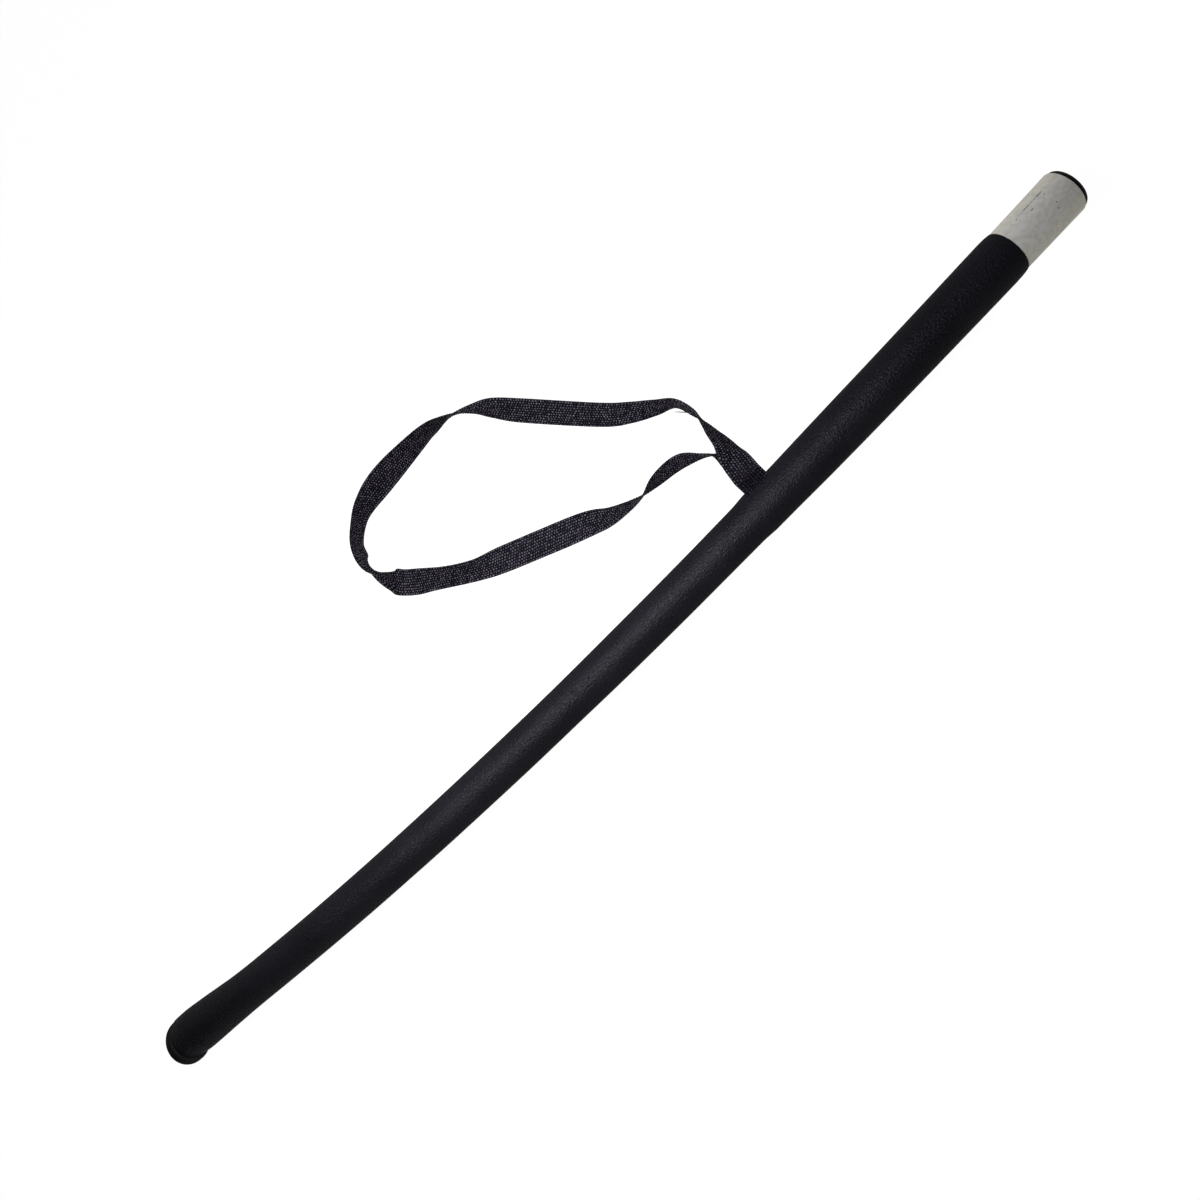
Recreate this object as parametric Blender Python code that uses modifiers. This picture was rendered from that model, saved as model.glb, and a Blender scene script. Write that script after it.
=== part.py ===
"""Short stick cane: two telescoped steel tubes in a black rubber sleeve, with a webbing wrist strap.

The cane lies on the floor as it would be put down: +X runs from the rubber tip to the bare metal end,
+Y is the side on which the strap comes out, and the floor is z = 0. The stick has a slight bow. It
rests on the edge of its tip, on its belly and on the upper end of the sleeve.
"""

import math

import bmesh
import bpy
from mathutils import Matrix, Vector

MM = 0.001

# The stick
CANE_LENGTH = 729.2 * MM
CHORD = 728.4 * MM
BOW_SIDE = 14.5 * MM
BOW_SWAY = 2.6 * MM
SWAY_RETURN = 1.25
BOW_CENTRE = 7.7 * MM
BOW_RISE = 3.1 * MM
BELLY_PLACE = -0.03
BELLY_HEIGHT = 12.56 * MM
GAP = 0.3 * MM

# Steel tubes: the upper one slides over the lower one
UPPER_RADIUS = 12.7 * MM
UPPER_BORE = 11.5 * MM
UPPER_LENGTH = 212.7 * MM
LOWER_RADIUS = 11.1 * MM
LOWER_BORE = 9.6 * MM
TUBE_OVERLAP = 70.0 * MM
PLUG_CROWN = 2.6 * MM
RIM = CANE_LENGTH - PLUG_CROWN
UPPER_START = RIM - UPPER_LENGTH
LOWER_END = UPPER_START + TUBE_OVERLAP

# Rubber tip and its washer
TIP_FLANGE_RADIUS = 15.4 * MM
TIP_FLANGE_HEIGHT = 6.5 * MM
TIP_OFFSET = 1.6 * MM
TIP_LENGTH = 52.0 * MM
TIP_FLOOR = 9.0 * MM
WASHER_THICKNESS = 1.5 * MM
LOWER_START = TIP_FLOOR + WASHER_THICKNESS + 2 * GAP

# Rubber sleeve
BARE_METAL = 35.6 * MM
SLEEVE_START = TIP_FLANGE_HEIGHT + GAP
SLEEVE_END = RIM - BARE_METAL
BELLY_RADIUS = 12.6 * MM
GRIP_RADIUS = 13.55 * MM

# Wrist strap
WEBBING_WIDTH = 16.0 * MM
WEBBING_THICKNESS = 1.5 * MM
STRAP_STATION = 526.0 * MM
STRAP_RISE = math.radians(24.0)
SLEEVE_RADIUS_AT_STRAP = 13.15 * MM
PIVOT_HEIGHT = 2.0 * MM
PIVOT_DISTANCE = SLEEVE_RADIUS_AT_STRAP + PIVOT_HEIGHT
PLY_CENTRE = (WEBBING_THICKNESS + GAP) / 2
STACK_HALF = WEBBING_THICKNESS + GAP / 2
TAIL_DEPTH = 7.0 * MM
SLOT_CLEARANCE = 0.35 * MM
SLOT_FLOOR = 5.0 * MM
SLOT_TOP = 16.0 * MM

# Cross pin that holds the tubes and the strap's tails
PIN_RADIUS = 2.0 * MM
PIN_OFFSET = -3.0 * MM
PIN_LEAN = math.radians(10.0)
PIN_STEPS = 20
PIN_SHORTER = 0.1 * MM
HOLE_LONGER = 0.15 * MM

# Ribbed plug in the bare tube's mouth
PLUG_HEAD = 12.1 * MM
PLUG_DEPTH = 22.0 * MM
PLUG_WALL = 1.6 * MM
RIB_COUNT = 4
RIB_PITCH = 4.5 * MM
RIB_HEIGHT = 0.8 * MM

ROUND_STEPS = 32
SLEEVE_STEPS = 48
GUIDE_STEPS = 74
LONGEST_RUN = 30.0 * MM

# The loop's route from the upper tail round to the lower one, in millimetres:
# x, y and z of the webbing's middle, then its roll in degrees, 0 lying flat and 90 standing on edge.
STRAP_ROUTE = [
    (161.6, 26.2, 19.6, 20),
    (163.3, 35.4, 15.0, 51),
    (163.7, 44.5, 11.5, 66),
    (164.1, 52.3, 9.5, 80),
    (163.9, 59.6, 8.5, 96),
    (160.3, 70.9, 8.3, 101),
    (150.8, 77.4, 7.8, 116),
    (139.0, 85.8, 7.0, 130),
    (126.6, 97.0, 6.1, 139),
    (97.0, 130.9, 5.8, 141),
    (86.3, 143.7, 7.1, 128),
    (78.0, 151.1, 8.2, 102),
    (68.2, 157.3, 8.3, 79),
    (56.7, 160.9, 7.1, 52),
    (46.9, 163.4, 5.6, 36),
    (30.1, 164.8, 3.5, 18),
    (8.1, 165.3, 1.6, -4),
    (-9.0, 162.7, 3.4, 18),
    (-20.3, 157.5, 5.2, 32),
    (-30.9, 148.9, 5.5, 36),
    (-34.6, 138.2, 6.0, 40),
    (-33.0, 128.4, 8.3, 84),
    (-29.6, 118.7, 7.4, 124),
    (-26.1, 112.3, 2.0, 174),
    (-9.3, 99.9, 5.7, 143),
    (10.9, 87.2, 5.7, 143),
    (28.8, 79.3, 2.3, 171),
    (52.9, 69.4, 1.0, 180),
    (77.2, 59.3, 4.0, 158),
    (88.9, 53.2, 6.6, 134),
    (100.0, 49.7, 7.8, 115),
    (110.9, 47.7, 8.3, 97),
    (122.5, 48.3, 8.1, 71),
    (133.7, 47.8, 7.7, 62),
    (142.2, 45.6, 7.8, 64),
    (150.0, 40.7, 8.8, 82),
    (156.2, 35.4, 10.0, 96),
    (160.1, 28.9, 12.0, 132),
    (161.6, 23.2, 15.2, 152),
]
STRAP_SAMPLES = 120
CURVE_STEPS = 20
STRAP_LEAD = 5.0 * MM


def clear_scene():
    for item in list(bpy.data.objects):
        bpy.data.objects.remove(item, do_unlink=True)


def make_collection(name):
    collection = bpy.data.collections.new(name)
    bpy.context.scene.collection.children.link(collection)
    return collection


def make_material(name, colour, roughness, metallic=0.0):
    material = bpy.data.materials.new(name)
    material.use_nodes = True
    shader = material.node_tree.nodes["Principled BSDF"]
    shader.inputs["Base Color"].default_value = (*colour, 1.0)
    shader.inputs["Roughness"].default_value = roughness
    shader.inputs["Metallic"].default_value = metallic
    material.diffuse_color = (*colour, 1.0)
    return material


def add_object(name, data, collection, material=None):
    item = bpy.data.objects.new(name, data)
    collection.objects.link(item)
    if material is not None:
        data.materials.append(material)
    return item


def hide_helper(item):
    item.hide_render = True
    item.display_type = "WIRE"


def axis_point(along):
    """The stick's centre at a distance along it from the tip."""
    x = along * CHORD / CANE_LENGTH - CHORD / 2
    part = 2 * x / CHORD
    side = BOW_SIDE * part ** 2 + BOW_SWAY * (part - SWAY_RETURN * part ** 3) - BOW_CENTRE
    height = BELLY_HEIGHT + BOW_RISE * (part - BELLY_PLACE) ** 2
    return Vector((x, side, height))


def axis_frame(along, lean=0.0):
    """Matrix at a station: X along the stick, Y outwards at an angle above the horizontal."""
    step = 1.0 * MM
    forward = (axis_point(along + step) - axis_point(along - step)).normalized()
    sideways = Vector((0, 0, 1)).cross(forward).normalized()
    upwards = forward.cross(sideways)
    outwards = sideways * math.cos(lean) + upwards * math.sin(lean)
    across = forward.cross(outwards)
    turn = Matrix((forward, outwards, across)).transposed()
    return Matrix.Translation(axis_point(along)) @ turn.to_4x4()


def bow_guide(collection):
    """Curve along the stick's centre, which bends every straight turned part."""
    data = bpy.data.curves.new("bow_guide", "CURVE")
    data.dimensions = "3D"
    spline = data.splines.new("POLY")
    spline.points.add(GUIDE_STEPS)
    for index, point in enumerate(spline.points):
        point.co = (*axis_point(CANE_LENGTH * index / GUIDE_STEPS), 1.0)
    guide = add_object("bow_guide", data, collection)
    hide_helper(guide)
    return guide


def divide_runs(outline, closed):
    """Add points on long runs of an outline of (radius, along), so that it can bend."""
    points = []
    ends = outline[1:] + outline[:1] if closed else outline[1:]
    for (radius, along), (next_radius, next_along) in zip(outline, ends):
        pieces = max(1, math.ceil(abs(next_along - along) / LONGEST_RUN))
        for piece in range(pieces):
            share = piece / pieces
            points.append((radius + share * (next_radius - radius), along + share * (next_along - along)))
    if not closed:
        points.append(outline[-1])
    return points


def turned_part(name, outline, closed, steps, guide, collection, material):
    """Body of revolution about Z, then laid along the bowed centre of the stick."""
    points = divide_runs(outline, closed)
    data = bpy.data.meshes.new(name)
    edges = [(index, index + 1) for index in range(len(points) - 1)]
    if closed:
        edges.append((len(points) - 1, 0))
    data.from_pydata([(radius, 0, along) for radius, along in points], edges, [])
    item = add_object(name, data, collection, material)
    screw = item.modifiers.new("turn", "SCREW")
    screw.axis = "Z"
    screw.steps = steps
    screw.render_steps = steps
    screw.use_merge_vertices = True
    screw.merge_threshold = 0.00001
    screw.use_smooth_shade = True
    bend = item.modifiers.new("bow", "CURVE")
    bend.object = guide
    bend.deform_axis = "POS_Z"
    return item


def arc(centre, radius, start, end, steps):
    """Points of an arc in (radius, along), angles in degrees from the radial direction."""
    points = []
    for index in range(steps + 1):
        angle = math.radians(start + (end - start) * index / steps)
        points.append((centre[0] + radius * math.cos(angle), centre[1] + radius * math.sin(angle)))
    return points


def cut(item, cutter, operation="DIFFERENCE"):
    boolean = item.modifiers.new(operation.lower(), "BOOLEAN")
    boolean.operation = operation
    boolean.solver = "EXACT"
    boolean.object = cutter


def box(name, low, high, matrix, collection, material=None):
    """Box between two corners, in the axes of a matrix."""
    data = bpy.data.meshes.new(name)
    mesh = bmesh.new()
    size = Vector(high) - Vector(low)
    place = Matrix.Translation((Vector(high) + Vector(low)) / 2) @ Matrix.Diagonal((*size, 1.0))
    bmesh.ops.create_cube(mesh, size=1.0, matrix=place)
    mesh.to_mesh(data)
    mesh.free()
    item = add_object(name, data, collection, material)
    item.matrix_world = matrix
    return item


def rod(name, radius, start, end, matrix, collection, material=None, chamfer=0.0, steps=ROUND_STEPS):
    """Round bar along the Y axis of a matrix."""
    data = bpy.data.meshes.new(name)
    mesh = bmesh.new()
    turn = Matrix.Rotation(math.radians(-90), 4, "X")
    place = Matrix.Translation((0, (start + end) / 2, 0)) @ turn
    bmesh.ops.create_cone(mesh, cap_ends=True, segments=steps, radius1=radius, radius2=radius,
                          depth=end - start, matrix=place)
    if chamfer > 0:
        rims = [edge for edge in mesh.edges if abs(edge.verts[0].co.y - edge.verts[1].co.y) < radius / 100]
        bmesh.ops.bevel(mesh, geom=rims, offset=chamfer, segments=3, profile=0.5, affect="EDGES")
    mesh.to_mesh(data)
    mesh.free()
    data.shade_smooth()
    data.set_sharp_from_angle(angle=math.radians(35))
    item = add_object(name, data, collection, material)
    item.matrix_world = matrix
    return item


def lower_tube(guide, collection, material):
    outline = [
        (LOWER_RADIUS, LOWER_END),
        (LOWER_RADIUS, LOWER_START),
        (LOWER_BORE, LOWER_START),
        (LOWER_BORE, LOWER_END),
    ]
    return turned_part("lower_tube", outline, True, ROUND_STEPS, guide, collection, material)


def upper_tube(guide, collection, material):
    edge = 0.3 * MM
    outline = [
        (UPPER_RADIUS - edge, RIM),
        (UPPER_RADIUS, RIM - edge),
        (UPPER_RADIUS, UPPER_START),
        (UPPER_BORE, UPPER_START),
        (UPPER_BORE, RIM),
    ]
    return turned_part("upper_tube", outline, True, SLEEVE_STEPS, guide, collection, material)


def sleeve(guide, collection, material):
    """Rubber sleeve: flared over the tip, slim on the lower tube, wider on the upper tube."""
    lower_bore = LOWER_RADIUS + GAP
    upper_bore = UPPER_RADIUS + GAP
    tip_bore = 13.6 * MM
    step = UPPER_START - 2 * GAP
    outline = [
        (upper_bore, SLEEVE_END),
        (GRIP_RADIUS - 0.45 * MM, SLEEVE_END - 1.0 * MM),
        (GRIP_RADIUS - 0.15 * MM, SLEEVE_END - 3.5 * MM),
        (GRIP_RADIUS, SLEEVE_END - 7.5 * MM),
        (GRIP_RADIUS, 590.0 * MM),
        (GRIP_RADIUS - 0.1 * MM, 558.0 * MM),
        (SLEEVE_RADIUS_AT_STRAP, 534.0 * MM),
        (SLEEVE_RADIUS_AT_STRAP, step),
        (BELLY_RADIUS - 0.05 * MM, step - 3.5 * MM),
        (BELLY_RADIUS - 0.1 * MM, 474.0 * MM),
        (BELLY_RADIUS, 418.0 * MM),
        (BELLY_RADIUS - 0.15 * MM, 360.0 * MM),
        (BELLY_RADIUS, 294.0 * MM),
        (BELLY_RADIUS + 0.15 * MM, 194.0 * MM),
        (BELLY_RADIUS + 0.2 * MM, 112.0 * MM),
        (13.0 * MM, 74.0 * MM),
        (13.3 * MM, 58.0 * MM),
        (13.9 * MM, 42.0 * MM),
        (14.7 * MM, 27.0 * MM),
        (15.2 * MM, 17.0 * MM),
        (15.0 * MM, 12.0 * MM),
        (14.5 * MM, SLEEVE_START),
        (tip_bore, SLEEVE_START),
        (tip_bore, 18.0 * MM),
        (lower_bore + 0.9 * MM, TIP_LENGTH + GAP),
        (lower_bore, TIP_LENGTH + 6.0 * MM),
        (lower_bore, step - 2.0 * MM),
        (upper_bore, step),
    ]
    return turned_part("sleeve", outline, True, SLEEVE_STEPS, guide, collection, material)


def end_tip(guide, collection, helpers, material):
    """Rubber tip: a socket on the lower tube, with a flat foot that sits a little off centre."""
    socket = LOWER_RADIUS + GAP
    stem = 13.3 * MM
    outline = [
        (socket, TIP_LENGTH),
        (socket + 0.55 * MM, TIP_LENGTH),
        (stem, 18.0 * MM),
        (stem, TIP_FLANGE_HEIGHT / 2),
        (0.0, TIP_FLANGE_HEIGHT / 2),
        (0.0, TIP_FLOOR),
        (socket, TIP_FLOOR),
    ]
    tip = turned_part("end_tip", outline, True, ROUND_STEPS, guide, collection, material)
    frame = axis_frame(TIP_FLANGE_HEIGHT / 2)
    shift = Matrix.Translation((-TIP_FLANGE_HEIGHT / 2, -TIP_OFFSET, 0))
    lay = Matrix.Rotation(math.radians(-90), 4, "Z")
    foot = rod("tip_foot", TIP_FLANGE_RADIUS, 0.0, TIP_FLANGE_HEIGHT, frame @ shift @ lay, helpers,
               chamfer=2.2 * MM, steps=SLEEVE_STEPS)
    hide_helper(foot)
    cut(tip, foot, "UNION")
    return tip


def tip_washer(guide, collection, material):
    outer = LOWER_RADIUS - GAP
    hole = 3.0 * MM
    bottom = TIP_FLOOR + GAP
    top = bottom + WASHER_THICKNESS
    outline = [(outer, top), (outer, bottom), (hole, bottom), (hole, top)]
    return turned_part("tip_washer", outline, True, ROUND_STEPS, guide, collection, material)


def top_plug(guide, collection, material):
    """Plastic plug: ribbed hollow stem in the bore, and a round-edged head over the rim."""
    rib = UPPER_BORE - GAP
    stem = rib - RIB_HEIGHT
    seat = RIM + GAP
    rounding = 1.9 * MM
    outline = [(0.0, CANE_LENGTH)]
    outline += arc((PLUG_HEAD - rounding, CANE_LENGTH - rounding), rounding, 90, 0, 5)
    outline.append((PLUG_HEAD, seat))
    outline.append((stem, seat))
    for number in range(RIB_COUNT):
        top = seat - 3.0 * MM - number * RIB_PITCH
        outline.append((stem, top))
        outline.append((rib, top - 0.5 * MM))
        outline.append((stem, top - 2.5 * MM))
    outline.append((stem, seat - PLUG_DEPTH))
    outline.append((stem - PLUG_WALL, seat - PLUG_DEPTH))
    outline.append((stem - PLUG_WALL, seat))
    outline.append((0.0, seat))
    return turned_part("top_plug", outline, False, ROUND_STEPS, guide, collection, material)


def strap_pin(collection, material):
    """Steel pin across both tubes and through the strap's tails, flush with the upper tube."""
    frame = axis_frame(STRAP_STATION + PIN_OFFSET, math.radians(90) + PIN_LEAN)
    reach = UPPER_RADIUS - PIN_SHORTER
    return rod("strap_pin", PIN_RADIUS, -reach, reach, frame, collection, material,
               chamfer=0.3 * MM, steps=PIN_STEPS)


def pin_hole(helpers):
    """Cutter for the pin's hole, a little wider and longer than the pin."""
    frame = axis_frame(STRAP_STATION + PIN_OFFSET, math.radians(90) + PIN_LEAN)
    reach = UPPER_RADIUS + HOLE_LONGER
    hole = rod("pin_hole", PIN_RADIUS + GAP, -reach, reach, frame, helpers, steps=PIN_STEPS)
    hide_helper(hole)
    return hole


def strap_slot(helpers):
    """Opening through the sleeve and both tubes for the two plies of webbing."""
    frame = axis_frame(STRAP_STATION, STRAP_RISE)
    half_width = WEBBING_WIDTH / 2 + SLOT_CLEARANCE
    half_height = STACK_HALF + SLOT_CLEARANCE
    slot = box("strap_slot", (-half_width, SLOT_FLOOR, -half_height), (half_width, SLOT_TOP, half_height),
               frame, helpers)
    hide_helper(slot)
    return slot


def strap_tail(name, side, collection, material):
    """Fixed end of the webbing: from inside the tube out to the fold, side +1 above and -1 below."""
    frame = axis_frame(STRAP_STATION, STRAP_RISE)
    near = GAP / 2
    rounding = WEBBING_THICKNESS - 0.1 * MM
    low, high = sorted((side * near, side * STACK_HALF))
    tail = box(name, (-WEBBING_WIDTH / 2, -TAIL_DEPTH, low),
               (WEBBING_WIDTH / 2, PIVOT_DISTANCE + rounding, high), frame, collection, material)
    mesh = bmesh.new()
    mesh.from_mesh(tail.data)
    corner = [
        edge for edge in mesh.edges
        if all(vertex.co.y > PIVOT_DISTANCE and side * vertex.co.z > STACK_HALF / 2 for vertex in edge.verts)
    ]
    bmesh.ops.bevel(mesh, geom=corner, offset=rounding, segments=5, profile=0.5, affect="EDGES")
    mesh.to_mesh(tail.data)
    mesh.free()
    return tail


def between(before, start, end, after, share):
    """Point on the smooth curve from start to end, with the neighbours on both sides."""
    slope = (end - before) * share
    bend = (2 * before - 5 * start + 4 * end - after) * share ** 2
    twist = (3 * start - before - 3 * end + after) * share ** 3
    return 0.5 * (2 * start + slope + bend + twist)


def smooth_route(points, samples):
    """Points evenly spread on a smooth curve through a list of points of any size."""
    knots = [Vector(point) for point in points]
    knots = knots[:1] + knots + knots[-1:]
    dense = []
    for before, start, end, after in zip(knots, knots[1:], knots[2:], knots[3:]):
        dense += [between(before, start, end, after, step / CURVE_STEPS) for step in range(CURVE_STEPS)]
    dense.append(knots[-1])
    lengths = [0.0]
    for first, second in zip(dense, dense[1:]):
        lengths.append(lengths[-1] + (Vector(second[:3]) - Vector(first[:3])).length)
    even = []
    position = 0
    for sample in range(samples):
        target = lengths[-1] * sample / (samples - 1)
        while position < len(dense) - 2 and lengths[position + 1] < target:
            position += 1
        span = lengths[position + 1] - lengths[position]
        share = (target - lengths[position]) / span
        even.append(dense[position].lerp(dense[position + 1], share))
    return even


def strap_points():
    """The loop's whole route: straight out of the fold on the upper ply, round, and back on the lower one."""
    frame = axis_frame(STRAP_STATION, STRAP_RISE)
    start = PIVOT_DISTANCE + STACK_HALF + GAP
    ends = []
    for side in (1, -1):
        for distance in (start, start + STRAP_LEAD):
            place = frame @ Vector((0, distance, side * PLY_CENTRE))
            ends.append((*place, 0.0))
    route = [(x * MM, y * MM, z * MM, math.radians(roll)) for x, y, z, roll in STRAP_ROUTE]
    back = [(x, y, z, math.radians(180)) for x, y, z, roll in (ends[3], ends[2])]
    return ends[:2] + route + back


def strap_loop(pivot, collection, material):
    """Loop of flat webbing, swept along its route with a roll at each point."""
    inverse = pivot.matrix_world.inverted()
    samples = smooth_route(strap_points(), STRAP_SAMPLES)
    places = [Vector(sample[:3]) for sample in samples]
    data = bpy.data.meshes.new("strap_loop")
    mesh = bmesh.new()
    half_width = WEBBING_WIDTH / 2
    half_thickness = WEBBING_THICKNESS / 2
    corners = ((1, 1), (-1, 1), (-1, -1), (1, -1))
    rings = []
    for index, sample in enumerate(samples):
        before = places[max(index - 1, 0)]
        after = places[min(index + 1, len(places) - 1)]
        forward = (after - before).normalized()
        level = Vector((0, 0, 1)).cross(forward).normalized()
        normal = forward.cross(level)
        roll = sample[3]
        width_way = level * math.cos(roll) + normal * math.sin(roll)
        face_way = forward.cross(width_way)
        ring = []
        for wide, thick in corners:
            place = places[index] + width_way * (wide * half_width) + face_way * (thick * half_thickness)
            ring.append(mesh.verts.new(inverse @ place))
        rings.append(ring)
    for first, second in zip(rings, rings[1:]):
        for corner in range(4):
            following = (corner + 1) % 4
            mesh.faces.new((first[corner], second[corner], second[following], first[following]))
    mesh.faces.new(rings[0])
    mesh.faces.new(tuple(reversed(rings[-1])))
    bmesh.ops.recalc_face_normals(mesh, faces=mesh.faces)
    mesh.to_mesh(data)
    mesh.free()
    loop = add_object("strap_loop", data, collection, material)
    loop.parent = pivot
    return loop


def strap_pivot(collection):
    """Empty on the line about which the loop swings, where the webbing leaves the sleeve."""
    pivot = bpy.data.objects.new("strap_pivot", None)
    pivot.empty_display_size = 0.01
    collection.objects.link(pivot)
    frame = axis_frame(STRAP_STATION, STRAP_RISE)
    pivot.matrix_world = frame @ Matrix.Translation((0, PIVOT_DISTANCE, 0))
    bpy.context.view_layer.update()
    return pivot


def build():
    clear_scene()
    parts = make_collection("cane")
    helpers = make_collection("cane_helpers")
    steel = make_material("galvanised_steel", (0.42, 0.42, 0.40), 0.45, 1.0)
    dark_steel = make_material("plain_steel", (0.35, 0.35, 0.35), 0.40, 1.0)
    pin_steel = make_material("pin_steel", (0.50, 0.50, 0.50), 0.35, 1.0)
    washer_steel = make_material("washer_steel", (0.45, 0.45, 0.45), 0.40, 1.0)
    rubber = make_material("sleeve_rubber", (0.012, 0.012, 0.014), 0.55)
    tip_rubber = make_material("tip_rubber", (0.010, 0.010, 0.010), 0.70)
    plastic = make_material("plug_plastic", (0.010, 0.010, 0.010), 0.50)
    webbing = make_material("loop_webbing", (0.020, 0.018, 0.024), 0.90)
    upper_webbing = make_material("upper_tail_webbing", (0.020, 0.018, 0.024), 0.90)
    lower_webbing = make_material("lower_tail_webbing", (0.020, 0.018, 0.024), 0.90)

    guide = bow_guide(helpers)
    hole = pin_hole(helpers)
    slot = strap_slot(helpers)

    lower = lower_tube(guide, parts, dark_steel)
    upper = upper_tube(guide, parts, steel)
    cover = sleeve(guide, parts, rubber)
    end_tip(guide, parts, helpers, tip_rubber)
    tip_washer(guide, parts, washer_steel)
    top_plug(guide, parts, plastic)
    strap_pin(parts, pin_steel)
    tails = [
        strap_tail("strap_tail_upper", 1, parts, upper_webbing),
        strap_tail("strap_tail_lower", -1, parts, lower_webbing),
    ]
    strap_loop(strap_pivot(parts), parts, webbing)

    for tube in (lower, upper):
        cut(tube, slot)
        cut(tube, hole)
    cut(cover, slot)
    for tail in tails:
        cut(tail, hole)


build()
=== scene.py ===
"""Looks of a short stick cane: rubber sleeve, bare galvanised end with its plug, rubber foot, wrist loop.

The stick lies along +X from the rubber foot to the bare end, the loop lies on the +Y side, and the
floor is z = 0. All lengths are in metres.
"""

import math

import bpy
from mathutils import Matrix, Vector, noise


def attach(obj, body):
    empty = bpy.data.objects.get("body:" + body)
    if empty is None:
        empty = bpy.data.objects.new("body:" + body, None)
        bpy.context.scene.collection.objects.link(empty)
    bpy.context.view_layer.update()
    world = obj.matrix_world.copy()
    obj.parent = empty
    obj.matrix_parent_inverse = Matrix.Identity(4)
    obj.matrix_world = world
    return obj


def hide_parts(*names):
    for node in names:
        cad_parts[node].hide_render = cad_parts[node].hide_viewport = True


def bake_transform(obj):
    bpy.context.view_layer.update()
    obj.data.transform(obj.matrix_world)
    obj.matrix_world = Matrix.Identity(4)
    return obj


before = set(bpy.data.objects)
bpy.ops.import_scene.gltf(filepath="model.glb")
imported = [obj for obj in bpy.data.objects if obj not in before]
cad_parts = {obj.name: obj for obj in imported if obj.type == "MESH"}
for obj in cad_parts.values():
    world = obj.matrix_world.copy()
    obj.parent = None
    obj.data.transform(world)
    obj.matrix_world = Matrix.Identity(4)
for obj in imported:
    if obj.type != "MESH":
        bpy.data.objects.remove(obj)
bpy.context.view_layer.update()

MM = 0.001

# Camera and key light
CAMERA_LENS = 23.4
CAMERA_PLACE = (0.1441, 0.02212, 0.44954)
CAMERA_TURN = (-8.187, 8.357, -45.078)
KEY_PLACE = (0.002, 0.072, 0.202)
KEY_TARGET = (0.002, 0.0, 0.012)
KEY_SIZE = (0.44, 0.07)
KEY_ENERGY = 1.04

# The stick's bowed centre, as in the CAD
CANE_LENGTH = 729.2 * MM
CHORD = 728.4 * MM
BOW_SIDE = 14.5 * MM
BOW_SWAY = 2.6 * MM
SWAY_RETURN = 1.25
BOW_CENTRE = 7.7 * MM
BOW_RISE = 3.1 * MM
BELLY_PLACE = -0.03
BELLY_HEIGHT = 12.56 * MM

# Tubes, sleeve, plug and foot
RIM = CANE_LENGTH - 2.6 * MM
TUBE_RADIUS = 12.7 * MM
TUBE_BORE = 11.5 * MM
TUBE_START = RIM - 212.7 * MM
SLEEVE_START = 6.8 * MM
SLEEVE_END = RIM - 35.6 * MM
FOOT_RADIUS = 15.4 * MM
FOOT_HEIGHT = 6.5 * MM
FOOT_OFFSET = 1.6 * MM
FOOT_NECK_END = 18.0 * MM
SOCKET_LENGTH = 52.0 * MM
PLUG_HEAD = 12.1 * MM
PLUG_DEPTH = 22.0 * MM
FLAT_RADIUS = 6.0 * MM
SLEEVE_FIT = 0.06 * MM
SLEEVE_MEAN_RADIUS = 13.0 * MM
LONGEST_RUN = 12.0 * MM
ROUND_SIDES = 96
SLEEVE_STATIONS = 560
SHARP_ANGLE = math.radians(40.0)

# The sleeve's radius from the foot to the bare end, both in millimetres: it's wide over the foot's
# socket, slim over the inner tube and full over the upper one, with a step where that one starts
SLEEVE_RADII = [
    (6.8, 14.6), (12.0, 15.0), (17.0, 15.2), (27.0, 14.7), (42.0, 13.9), (58.0, 13.3), (74.0, 13.0),
    (112.0, 12.8), (194.0, 12.75), (294.0, 12.6), (360.0, 12.45), (418.0, 12.6), (474.0, 12.5),
    (510.0, 12.55), (514.0, 13.1), (534.0, 13.15), (558.0, 13.45), (590.0, 13.55), (691.0, 13.55),
]
RADIUS_SPREAD = (-3.0, -1.5, 0.0, 1.5, 3.0)

# The sleeve's upper mouth, rounded over: distance from its edge and drop in radius, in millimetres
MOUTH_ROUND = [
    (-7.5, 0.0), (-5.0, -0.06), (-3.5, -0.15), (-2.2, -0.27), (-1.2, -0.40), (-0.5, -0.52),
    (-0.1, -0.70),
]

# Marks: distance along the stick, angle round it in degrees, length and width, in millimetres
SLEEVE_NICKS = [(371.8, 71, 3.4, 1.8), (384.5, 74, 1.8, 1.2)]
TUBE_SCRATCH = (711.0, 46, 24.0, 1.3)
TUBE_PITS = [
    (707.2, 61, 2.6, 1.0), (706.2, 45, 1.6, 1.0), (700.2, 49, 1.4, 1.0), (715.8, 56, 1.3, 1.0),
    (714.5, 101, 1.1, 1.0), (715.8, 89, 1.0, 1.0), (716.0, 148, 1.2, 1.0),
]

# Webbing: two plies leave a slot in the sleeve and swing about a line just outside it
WEBBING_WIDTH = 16.0 * MM
WEBBING_THICKNESS = 1.5 * MM
STRAP_STATION = 526.0 * MM
STRAP_RISE = math.radians(24.0)
PLY_CENTRE = 0.9 * MM
FREE_START = 17.1 * MM
STRAP_LEAD = 5.0 * MM
TAIL_DEPTH = 7.0 * MM
TAIL_BEND = 5.0 * MM
SLOT_LENGTH = 16.7 * MM
SLOT_HEIGHT = 4.0 * MM
SLOT_FLOOR = 4.0 * MM
SLOT_TOP = 17.0 * MM
LIP_REACH = 8.3 * MM
PIN_STATION = STRAP_STATION - 3.5 * MM
PIN_ANGLE = math.radians(100.0)
CURVE_STEPS = 40

# Weave: yarns run along the strap, and each goes up over a float and down again
YARN_COUNT = 10
YARN_PITCH = WEBBING_WIDTH / YARN_COUNT
FLOAT_PITCH = 1.6 * MM
FLOAT_HEIGHT = 0.40 * MM
FLOAT_STEPS = 4
YARN_LANES = 4
EDGE_POWER = 14

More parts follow.
